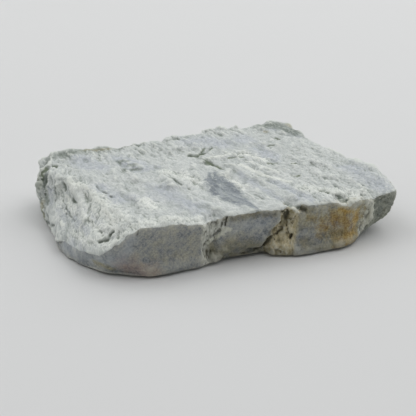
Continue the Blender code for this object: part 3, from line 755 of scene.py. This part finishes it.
def shared_values(tree):
    """The masks, noises and tones that the layers draw on, by name."""
    place = add(tree, "TexCoord").outputs["Object"]
    mm = add(tree, "VectorMath", {0: place, 1: (1000.0, 1000.0, 1000.0)}, operation="MULTIPLY").outputs[0]
    warp = add(tree, "TexNoise", {"Vector": mm, "Scale": 0.22, "Detail": 2.0}).outputs["Color"]
    fibre = add(tree, "Attribute", attribute_name="fibre").outputs["Vector"]
    bent = add(tree, "VectorMath", {0: warp, 1: (5.0, 5.0, 5.0), 2: fibre},
               operation="MULTIPLY_ADD").outputs[0]
    slanted = add(tree, "Mapping", {"Vector": mm, "Rotation": (0.0, math.radians(-45.0), 0.0)}).outputs[0]
    followed = {"mm": mm, "bent": bent, "slanted": slanted}
    values = {}
    for name in (*MARKS, "broken", "nose", "grey_strip", "tan_strip", "crest", "swell"):
        values[name] = add(tree, "Attribute", attribute_name=name).outputs["Fac"]
    for name, (source, sizes, detail, rough) in NOISES.items():
        lumps = [1.0 / size for size in sizes]
        scaled = add(tree, "VectorMath", {0: followed[source], 1: lumps}, operation="MULTIPLY").outputs[0]
        values[name] = add(tree, "TexNoise", {"Vector": scaled, "Scale": 1.0, "Detail": detail,
                                              "Roughness": rough}).outputs["Fac"]
    for name, (shares, low, high) in TONES.items():
        total = 0.0
        for part, share in shares.items():
            total = add(tree, "Math", {0: values[part], 1: share, 2: total},
                        operation="MULTIPLY_ADD").outputs[0]
        values[name] = add(tree, "MapRange", {0: total, 1: low, 2: high}).outputs[0]
    return values


def layered(tree, values, colour, layers):
    """The colour with these layers laid over it."""
    for where, frays, weight, low, high, most, tone, codes in layers:
        above = linear(codes[0])
        if len(codes) > 1:
            above = add(tree, "ValToRGB", {0: values[tone]}, codes=codes).outputs[0]
        edge = add(tree, "Math", {0: values[frays], 1: weight, 2: values[where]}, operation="MULTIPLY_ADD")
        share = add(tree, "MapRange", {0: edge.outputs[0], 1: low + 0.5 * weight, 2: high + 0.5 * weight,
                                       3: 0.0, 4: most})
        colour = add(tree, "Mix", {0: share.outputs[0], 6: colour, 7: above}, data_type="RGBA").outputs[2]
    return colour


def stone_colour(tree, values):
    """The worn skin's colour, and over it the fresh breaks' colour where the stone is broken, both with
    painted shade in hollows, cracks and crevices and painted highlights on crests.
    """
    fresh = add(tree, "ValToRGB", {0: values["break_tone"]}, codes=BREAK_COLOURS).outputs[0]
    fresh = layered(tree, values, fresh, BREAK_LAYERS)
    skin = add(tree, "ValToRGB", {0: values["skin_tone"]}, codes=SKIN_COLOURS).outputs[0]
    skin = layered(tree, values, skin, SKIN_LAYERS)
    return add(tree, "Mix", {0: values["break_edge"], 6: skin, 7: fresh}, data_type="RGBA").outputs[2]


def stone_finish(tree, values, shader):
    """Felted fibres and grit too fine for the mesh, and a silky sheen on the fibres, duller between them."""
    felt = add(tree, "Math", {0: values["streaks"], 1: 0.6, 2: values["flecks"]}, operation="MULTIPLY_ADD")
    height = add(tree, "Mix", {0: values["break_edge"], 2: values["grit"], 3: felt.outputs[0]},
                 data_type="FLOAT")
    bump = add(tree, "Bump", {"Height": height.outputs[0], "Strength": 0.6, "Distance": 0.3 * MM})
    tree.links.new(bump.outputs["Normal"], shader.inputs["Normal"])
    silk = add(tree, "MapRange", {0: values["streaks"], 1: 0.3, 2: 0.7, 3: 0.62, 4: 0.85})
    tree.links.new(silk.outputs[0], shader.inputs["Roughness"])


def seraphinite():
    """Raw seraphinite, a clinochlore: felted silky fibres, pale grey-green where freshly broken, darker
    blue-grey and olive where the cobble's skin is worn, rust where iron has seeped in."""
    material = bpy.data.materials.new("raw seraphinite")
    material.use_nodes = True
    tree = material.node_tree
    shader = tree.nodes["Principled BSDF"]
    values = shared_values(tree)
    tree.links.new(stone_colour(tree, values), shader.inputs["Base Color"])
    stone_finish(tree, values, shader)
    shader.inputs["IOR"].default_value = CLINOCHLORE_IOR
    shader.inputs["Specular IOR Level"].default_value = 0.35
    return material


def stone():
    """The whole stone in place of its solid."""
    mesh = carved_mesh()
    mesh.shade_smooth()
    mesh.materials.clear()
    mesh.materials.append(seraphinite())
    piece = bpy.data.objects.new("carved_seraphinite", mesh)
    bpy.context.scene.collection.objects.link(piece)
    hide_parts(NODE)
    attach(piece, "root")


# ---------------------------------------------------------------- studio

FLOOR_HALF = 3.0
PAPER_COLOUR = "#D9DADA"
TENT_COLOUR = "#FFFFFF"
TENT_STRENGTH = 0.21
SOFTBOX_SIDE = 1.6
# Lamps: name, place in metres, power in watts
LAMPS = (
    ("overhead", (0.0, 0.0, 1.4), 5.1),
    ("behind left", (-0.8, 0.8, 0.9), 9.1),
    ("behind right", (0.8, 0.8, 0.9), 5.3),
    ("right", (1.0, 0.0, 1.0), 9.2),
)
CAMERA_TURN = -23.0  # degrees round from looking along +Y
CAMERA_RISE = 24.0  # degrees above the floor
CAMERA_DISTANCE = 0.420
CAMERA_AIM = Vector((-0.00472, -0.00997, 0.008))
HALF_VIEW = 9.2  # degrees from the middle of the picture to its edge
SENSOR = 36.0
NEAREST = 0.01  # nearest distance that the camera sees


def paper():
    """Matt white background paper, a little grey: no gloss, no texture."""
    material = bpy.data.materials.new("background paper")
    material.use_nodes = True
    shader = material.node_tree.nodes["Principled BSDF"]
    shader.inputs["Base Color"].default_value = linear(PAPER_COLOUR)
    shader.inputs["Roughness"].default_value = 0.95
    return material


def floor():
    """A plain sheet of background paper under the stone."""
    sheet = bmesh.new()
    bmesh.ops.create_grid(sheet, x_segments=1, y_segments=1, size=FLOOR_HALF)
    mesh = bpy.data.meshes.new("studio floor")
    sheet.to_mesh(mesh)
    sheet.free()
    mesh.materials.append(paper())
    piece = bpy.data.objects.new("studio_floor", mesh)
    bpy.context.scene.collection.objects.link(piece)


def softbox(name, place, power):
    """A square lamp at this place, turned to face the stone."""
    lamp = bpy.data.lights.new(name, "AREA")
    lamp.size = SOFTBOX_SIDE
    lamp.energy = power
    holder = bpy.data.objects.new(name, lamp)
    holder.location = place
    holder.rotation_euler = Vector(place).to_track_quat("Z", "Y").to_euler()
    bpy.context.scene.collection.objects.link(holder)


def daylight():
    """Even white light from all round, as in a light tent."""
    world = bpy.data.worlds.new("light tent")
    world.use_nodes = True
    background = world.node_tree.nodes["Background"]
    background.inputs["Color"].default_value = linear(TENT_COLOUR)
    background.inputs["Strength"].default_value = TENT_STRENGTH
    bpy.context.scene.world = world


def camera():
    """A long lens that looks down on the stone's front left corner."""
    turn, rise = math.radians(CAMERA_TURN), math.radians(CAMERA_RISE)
    back = Vector((math.sin(turn) * math.cos(rise), -math.cos(turn) * math.cos(rise), math.sin(rise)))
    lens = bpy.data.cameras.new("camera")
    lens.sensor_width = SENSOR
    lens.lens = SENSOR / 2.0 / math.tan(math.radians(HALF_VIEW))
    lens.clip_start = NEAREST
    holder = bpy.data.objects.new("camera", lens)
    holder.location = CAMERA_AIM + back * CAMERA_DISTANCE
    holder.rotation_euler = (-back).to_track_quat("-Z", "Y").to_euler()
    bpy.context.scene.collection.objects.link(holder)
    bpy.context.scene.camera = holder


stone()
floor()
daylight()
for lamp_name, lamp_place, lamp_power in LAMPS:
    softbox(lamp_name, lamp_place, lamp_power)
camera()
bpy.context.scene.view_settings.view_transform = "Standard"
